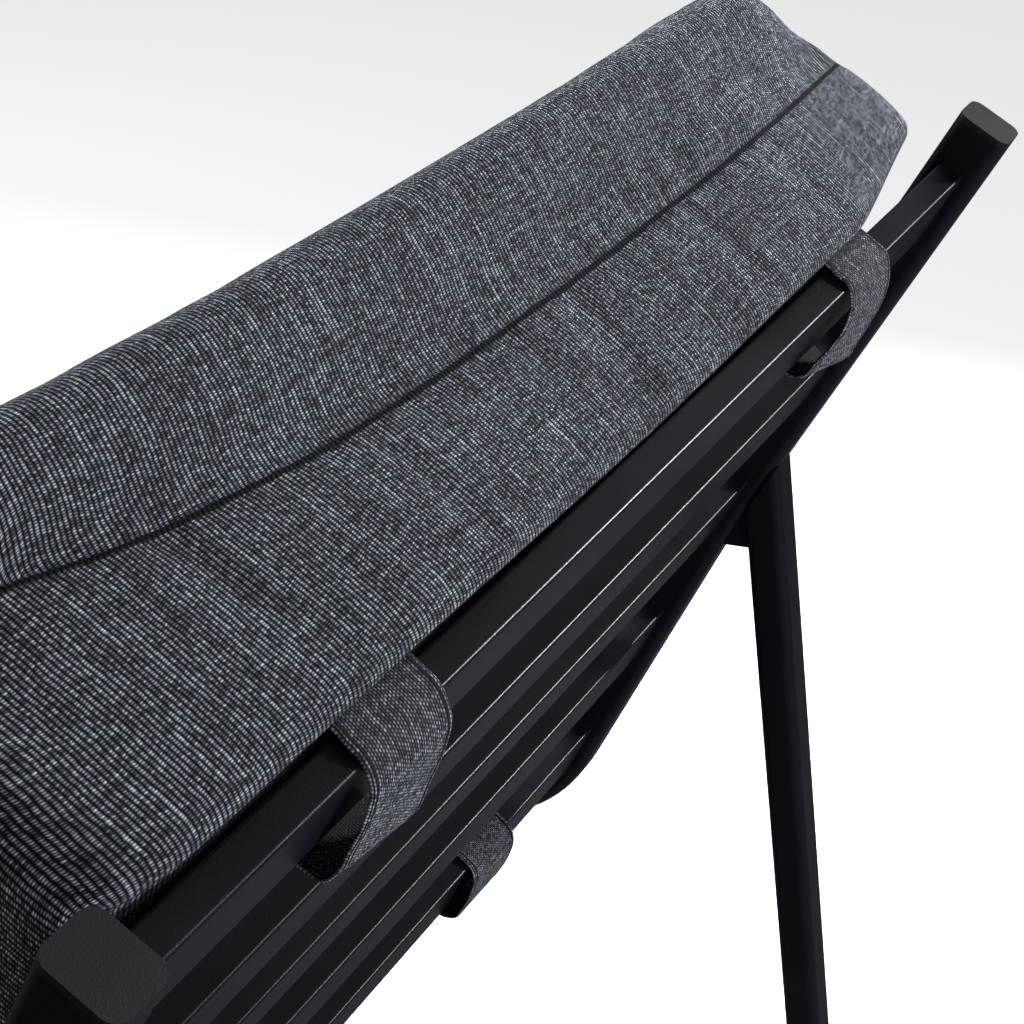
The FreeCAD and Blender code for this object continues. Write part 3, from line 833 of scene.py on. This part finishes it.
# The rear face keeps still, within 1.3 mm of its plane, so that the zip lies flat on it.
rear_face = points[:, 1] > seat_rear_y - 0.0013
seat_cushion = cushion_piece("seat_cushion", seat_box, points, seat, still=rear_face,
                             boxing_cap=0.003, front_cap=0.0045)
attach(seat_cushion, "seat_cushion")
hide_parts("seat_cushion_cover", "seat_cushion_foam")


# Zips. A coil zip on woven tape lies flat on the back cushion's underside and on the seat
# cushion's rear; the cast slider and its pull are enamelled black.

def zip_tape_cloth():
    """Black tape of a very fine even weave, painted lighter on its threads' tops and darker between
    them, as light and shade.
    """
    made, tree, shader = material("zip tape")
    height = weave_on(tree, rib=0.0007, pick=0.0006, wander=0.0)["Height"]
    # Painted light and shade: the colour follows the weave's height, lighter on top and darker in the
    # gaps.
    black = mixed(tree, height, (0.006, 0.006, 0.007), (0.035, 0.037, 0.041))
    connect(tree, shader, {"Base Color": black, "Roughness": 0.8,
                           "Normal": bump(tree, height, depth=0.00015)})
    return made


def zip_coil():
    """Moulded black coil: one tooth every 1.4 mm along the zip, in two rows that interlock; painted
    lighter on the teeth's tops and darker between them, as light and shade.
    """
    made, tree, shader = material("zip coil")
    height = weave_on(tree, rib=0.003, pick=0.0014, wander=0.0)["Height"]
    # Painted light and shade: the colour follows the teeth's height, lighter on top and darker
    # between.
    black = mixed(tree, height, (0.004, 0.004, 0.005), (0.03, 0.031, 0.034))
    connect(tree, shader, {"Base Color": black, "Roughness": ranged(tree, height, 0.6, 0.35),
                           "Normal": bump(tree, height, depth=0.0005)})
    return made


def enamel():
    """Black enamel with a little wear to the casting's grey in small scattered flecks."""
    made, tree, shader = material("enamelled slider")
    grain = add(tree, "ShaderNodeGroup", {"Grain size": 0.0011}, node_tree=grain_group).outputs
    wear = ranged(tree, grain["Flecks"], 0.0, 0.5)
    connect(tree, shader, {"Base Color": mixed(tree, wear, (0.012, 0.012, 0.013), (0.16, 0.16, 0.165)),
                           "Roughness": ranged(tree, grain["Mottle"], 0.22, 0.38),
                           "Metallic": 0.4, "Normal": bump(tree, grain["Height"], depth=0.00004)})
    return made


tape_finish, coil_finish, slider_finish = zip_tape_cloth(), zip_coil(), enamel()
tape_half, tape_thick = 0.013, 0.0008
coil_half, coil_base, coil_top = 0.003, 0.0006, 0.0016

# Each zip: the panel it lies in, the (y, z) of its middle, the way off the cloth, and the way
# across the zip over the cloth.
zips = {"back_cushion": (back, (-0.0483, low_z), (0, -1), (1, 0)),
        "seat_cushion": (seat, (-0.0100, 0.0443), (1, 0), (0, 1))}


def zip_strip(name, cushion, reach, half, base, top, finish):
    """Flat strip along x on a cushion's zip, from base to top off the cloth."""
    panel, middle, off, across = zips[cushion]
    stations = 120
    path = np.zeros((stations, 2, 3))
    path[..., 0] = np.linspace(reach, -reach, stations)[:, None]
    for side, sign in enumerate((-1, 1)):
        edge = np.array(middle) + sign * half * np.array(across, float)
        path[:, side, 1:] = edge + (base + top) / 2 * np.array(off, float)
    points, faces, corners = ribbon(panel.place(path), half, top - base, columns=12)[:3]
    piece = surface(name, points, faces, finish, corners)
    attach(piece, cushion)
    return piece


for cushion in zips:
    name = cushion + "_zip"
    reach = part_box(name)[1][0]
    tape = zip_strip(name + "_tape", cushion, reach, tape_half, 0.0, tape_thick, tape_finish)
    zip_strip(name + "_coil", cushion, reach, coil_half, coil_base, coil_top, coil_finish)
    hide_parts(name)
for name in ("back_zip_slider", "seat_zip_slider"):
    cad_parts[name].data.materials.clear()
    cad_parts[name].data.materials.append(slider_finish)
